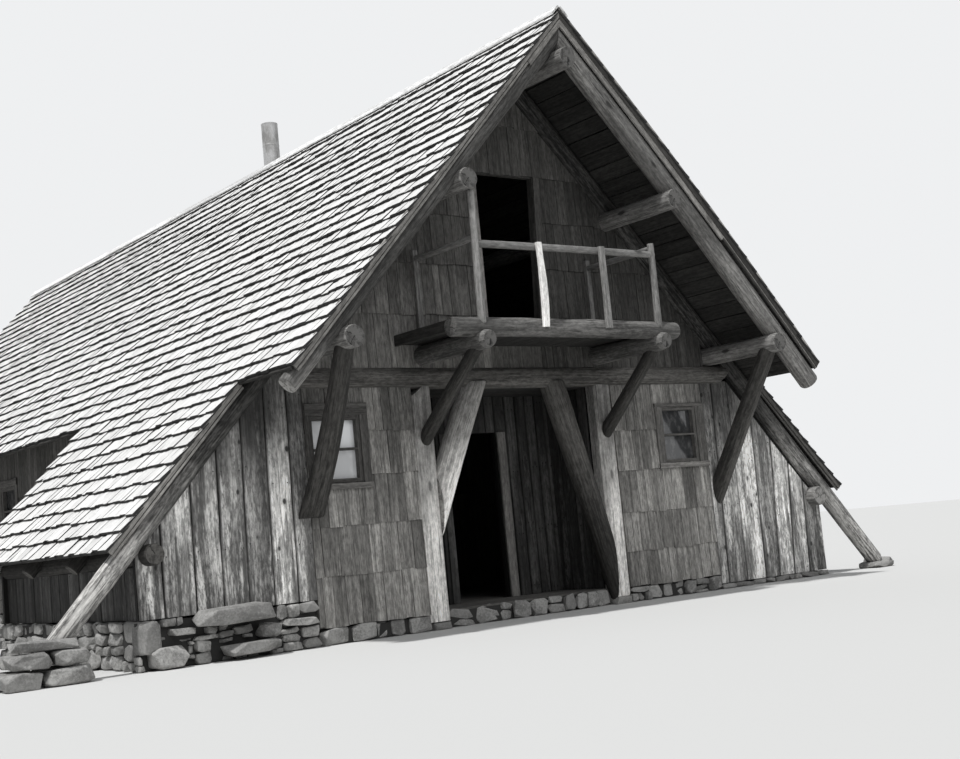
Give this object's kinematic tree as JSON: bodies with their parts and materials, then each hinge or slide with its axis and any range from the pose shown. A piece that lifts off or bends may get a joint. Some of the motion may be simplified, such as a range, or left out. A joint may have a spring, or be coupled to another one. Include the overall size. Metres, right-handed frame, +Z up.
{
  "type": "a-frame cabin",
  "caption": "Log-framed cabin with a steep shake roof, a projecting canopy over a balcony and a recessed entry, and low side wings.",
  "frame": {"origin": "middle of the building's footprint on the ground", "axes": "+X to the right seen from the entry front, +Y from the entry front to the rear along the ridge, +Z up"},
  "size_m": [12.9218, 17.12, 7.65],
  "materials": {
    "roof_shakes": "weathered split shakes, matt",
    "ridge_board": "weathered board, matt",
    "rake_boards": "weathered board, matt",
    "peeled_logs": "peeled, weathered, matt",
    "light_poles": "peeled, weathered, matt",
    "hewn_posts": "hewn, weathered, matt",
    "wall_planks": "rough sawn, weathered, matt",
    "wall_shakes": "weathered split shakes, matt",
    "dark_boards": "rough sawn, matt",
    "floor_boards": "rough sawn, matt",
    "window_wood": "weathered board, matt",
    "window_glass": "clear, smooth",
    "field_stone": "rough, matt",
    "flue_metal": "matt grey metal"
  },
  "bodies": {
    "root": {"main_roof_left": "roof_shakes", "main_roof_right": "roof_shakes", "wing_roofs_left": "roof_shakes", "wing_roofs_right": "roof_shakes", "ridge_cap": "ridge_board", "rake_boards_left": "rake_boards", "rake_boards_right": "rake_boards", "canopy_rafters_left": "peeled_logs", "canopy_rafters_right": "peeled_logs", "frame_logs_left": "peeled_logs", "frame_logs_right": "peeled_logs", "ridge_log": "peeled_logs", "upper_purlins": "peeled_logs", "lower_purlins": "peeled_logs", "wall_plates": "peeled_logs", "tie_logs": "peeled_logs", "knee_braces": "peeled_logs", "balcony_beam": "peeled_logs", "balcony_joists": "peeled_logs", "balcony_braces": "peeled_logs", "entry_struts": "peeled_logs", "entry_lintel": "peeled_logs", "balcony_posts": "light_poles", "balcony_rails": "light_poles", "balusters": "light_poles", "entry_posts": "hewn_posts", "wing_front_walls": "wall_planks", "wing_back_walls": "wall_planks", "wing_side_walls": "wall_planks", "eave_walls": "wall_shakes", "front_wall_left": "wall_shakes", "front_wall_right": "wall_shakes", "rear_wall": "wall_shakes", "gable_wall_left": "wall_shakes", "gable_wall_right": "wall_shakes", "gable_wall_middle": "wall_shakes", "rear_gable_wall": "wall_shakes", "entry_side_walls": "dark_boards", "entry_back_walls": "dark_boards", "entry_door_head": "dark_boards", "entry_ceiling": "dark_boards", "wing_floors": "floor_boards", "middle_floor": "floor_boards", "upper_floor": "floor_boards", "balcony_deck": "floor_boards", "window_frames": "window_wood", "door_casings": "window_wood", "window_glass": "window_glass", "cross_footings": "field_stone", "long_footings": "field_stone", "foot_stones": "field_stone", "flue_pipe": "flue_metal"}
  },
  "joints": []
}
